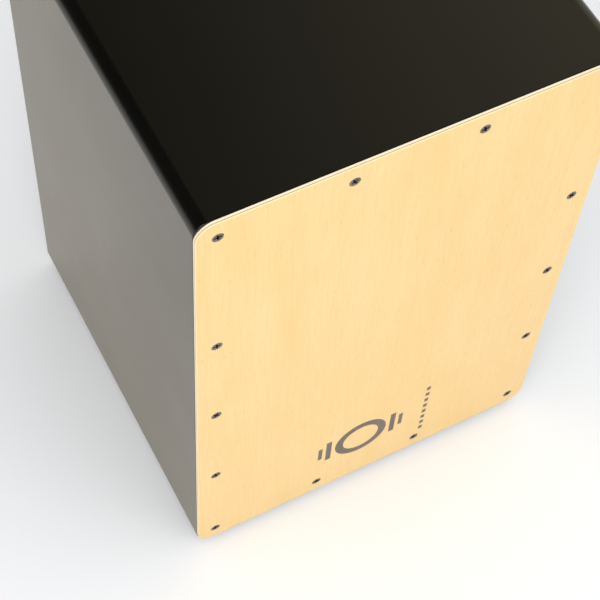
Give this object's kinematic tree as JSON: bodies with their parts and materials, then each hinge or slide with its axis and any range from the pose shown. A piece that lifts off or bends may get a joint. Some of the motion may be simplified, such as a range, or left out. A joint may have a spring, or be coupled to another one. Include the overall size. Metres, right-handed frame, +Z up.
{
  "type": "cajon",
  "caption": "Box drum with a screwed-on plywood playing plate, a round sound hole in its back, rubber feet, and strings behind the plate that are tightened from below.",
  "frame": {"origin": "on the floor, under the middle of the box over its playing plate and back", "axes": "+Z up along the box's height, -Y the way the playing plate faces, +X to the right seen from in front of the plate"},
  "size_m": [0.305, 0.305, 0.458],
  "materials": {
    "body_paint": "fibreboard with a smooth satin black paint",
    "plate_ply": "pale birch plywood with a thin satin varnish",
    "frame_wood": "planed, unfinished softwood",
    "black_screw": "dark oxide coat, slightly glossy",
    "zinc_steel": "bright zinc plating",
    "string_bronze": "bronze winding on a steel core",
    "ball_brass": "bright turned brass",
    "foot_rubber": "moulded matt black rubber"
  },
  "bodies": {
    "box": {"side_left": "body_paint", "side_right": "body_paint", "top_panel": "body_paint", "bottom_panel": "body_paint", "back_panel": "body_paint", "front_plate": "plate_ply", "front_batten_left": "frame_wood", "front_batten_right": "frame_wood", "front_batten_top": "frame_wood", "front_batten_bottom": "frame_wood", "corner_block_top_left": "frame_wood", "corner_block_top_right": "frame_wood", "corner_block_bottom_left": "frame_wood", "corner_block_bottom_right": "frame_wood", "front_screws": "black_screw", "foot_front_left": "foot_rubber", "foot_front_right": "foot_rubber", "foot_rear_left": "foot_rubber", "foot_rear_right": "foot_rubber", "foot_washers": "zinc_steel", "foot_screws": "zinc_steel", "string_hanger_left": "zinc_steel", "string_hanger_right": "zinc_steel", "hanger_screws": "zinc_steel", "string_left_outer": "string_bronze", "string_left_inner": "string_bronze", "string_right_inner": "string_bronze", "string_right_outer": "string_bronze", "ball_ends_top": "ball_brass", "tuner_washer_left": "zinc_steel", "tuner_washer_right": "zinc_steel", "guide_pin_left": "zinc_steel", "guide_pin_right": "zinc_steel"},
    "bolt_left": {"tuner_bolt_left": "black_screw"},
    "bolt_right": {"tuner_bolt_right": "black_screw"},
    "carriage_left": {"string_carriage_left": "zinc_steel", "ball_ends_left": "ball_brass"},
    "carriage_right": {"string_carriage_right": "zinc_steel", "ball_ends_right": "ball_brass"}
  },
  "joints": [
    {"name": "tuner_left_turn", "type": "hinge", "parent": "box", "child": "bolt_left", "pos_m": [-0.03, -0.1405, 0.03], "axis": [0, 0, 1], "range_deg": [-1800, 1800]},
    {"name": "tuner_right_turn", "type": "hinge", "parent": "box", "child": "bolt_right", "pos_m": [0.03, -0.1405, 0.03], "axis": [0, 0, 1], "range_deg": [-1800, 1800]},
    {"name": "carriage_left_slide", "type": "slide", "parent": "box", "child": "carriage_left", "axis": [0, 0, 1], "range_m": [-0.004, 0.004], "deforming": ["string_left_outer", "string_left_inner"]},
    {"name": "carriage_right_slide", "type": "slide", "parent": "box", "child": "carriage_right", "axis": [0, 0, 1], "range_m": [-0.004, 0.004], "deforming": ["string_right_inner", "string_right_outer"]}
  ],
  "couplings": [
    {"joint": "tuner_left_turn", "follows": "carriage_left_slide", "rad_per_m": -7853.9},
    {"joint": "tuner_right_turn", "follows": "carriage_right_slide", "rad_per_m": -7853.9}
  ]
}
